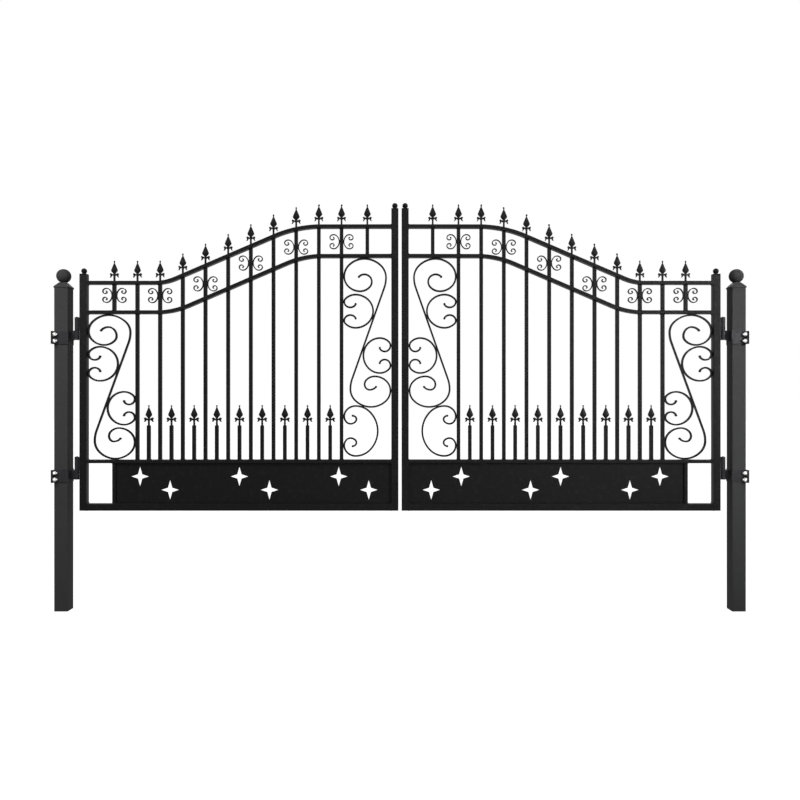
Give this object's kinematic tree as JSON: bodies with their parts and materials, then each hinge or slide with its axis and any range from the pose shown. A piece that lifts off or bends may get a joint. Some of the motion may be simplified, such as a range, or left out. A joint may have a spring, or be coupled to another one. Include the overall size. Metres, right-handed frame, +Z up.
{
  "type": "double swing driveway gate",
  "caption": "Double swing driveway gate in the wrought iron style: two arched leaves with pickets, spear heads, scrolls and a starred kick panel, hung on square posts with ball finials.",
  "frame": {"origin": "centre of the flat foot of the left post", "axes": "+X along the closed gate from the left post to the right post, +Z up, +Y inwards, away from the road side"},
  "size_m": [3.896, 0.137, 2.3035],
  "materials": {
    "post_coat": "satin black powder coat on steel tube",
    "leaf_coat": "satin black powder coat on welded tube, bar and forgings",
    "hinge_coat": "semi-gloss black paint on hinge and clamp steel",
    "zinc": "bright zinc plate on clamp bolts and hinge pins"
  },
  "bodies": {
    "posts": {"left_post": "post_coat", "left_post_cap": "post_coat", "left_upper_clamp": "hinge_coat", "left_lower_clamp": "hinge_coat", "right_post": "post_coat", "right_post_cap": "post_coat", "right_upper_clamp": "hinge_coat", "right_lower_clamp": "hinge_coat"},
    "left_leaf": {"left_hinge_stile": "leaf_coat", "left_meeting_stile": "leaf_coat", "left_bottom_rail": "leaf_coat", "left_kick_rail": "leaf_coat", "left_second_rail": "leaf_coat", "left_upper_rail": "leaf_coat", "left_kick_bar": "leaf_coat", "left_kick_panel": "leaf_coat", "left_pickets": "leaf_coat", "left_rail_uprights": "leaf_coat", "left_dog_bars": "leaf_coat", "left_rail_spears": "leaf_coat", "left_dog_bar_spears": "leaf_coat", "left_hinge_side_scrolls": "leaf_coat", "left_meeting_side_scrolls": "leaf_coat", "left_small_scrolls": "leaf_coat", "left_stile_caps": "leaf_coat", "left_hinge_knuckles": "hinge_coat"},
    "right_leaf": {"right_hinge_stile": "leaf_coat", "right_meeting_stile": "leaf_coat", "right_bottom_rail": "leaf_coat", "right_kick_rail": "leaf_coat", "right_second_rail": "leaf_coat", "right_upper_rail": "leaf_coat", "right_kick_bar": "leaf_coat", "right_kick_panel": "leaf_coat", "right_pickets": "leaf_coat", "right_rail_uprights": "leaf_coat", "right_dog_bars": "leaf_coat", "right_rail_spears": "leaf_coat", "right_dog_bar_spears": "leaf_coat", "right_hinge_side_scrolls": "leaf_coat", "right_meeting_side_scrolls": "leaf_coat", "right_small_scrolls": "leaf_coat", "right_stile_caps": "leaf_coat", "right_hinge_knuckles": "hinge_coat"}
  },
  "joints": [
    {"name": "left_leaf_swing", "type": "hinge", "parent": "posts", "child": "left_leaf", "pos_m": [0.0745, 0, 1.19], "axis": [0, 0, 1], "range_deg": [-90, 90]},
    {"name": "right_leaf_swing", "type": "hinge", "parent": "posts", "child": "right_leaf", "pos_m": [3.7345, 0, 1.19], "axis": [0, 0, -1], "range_deg": [-90, 90]}
  ]
}
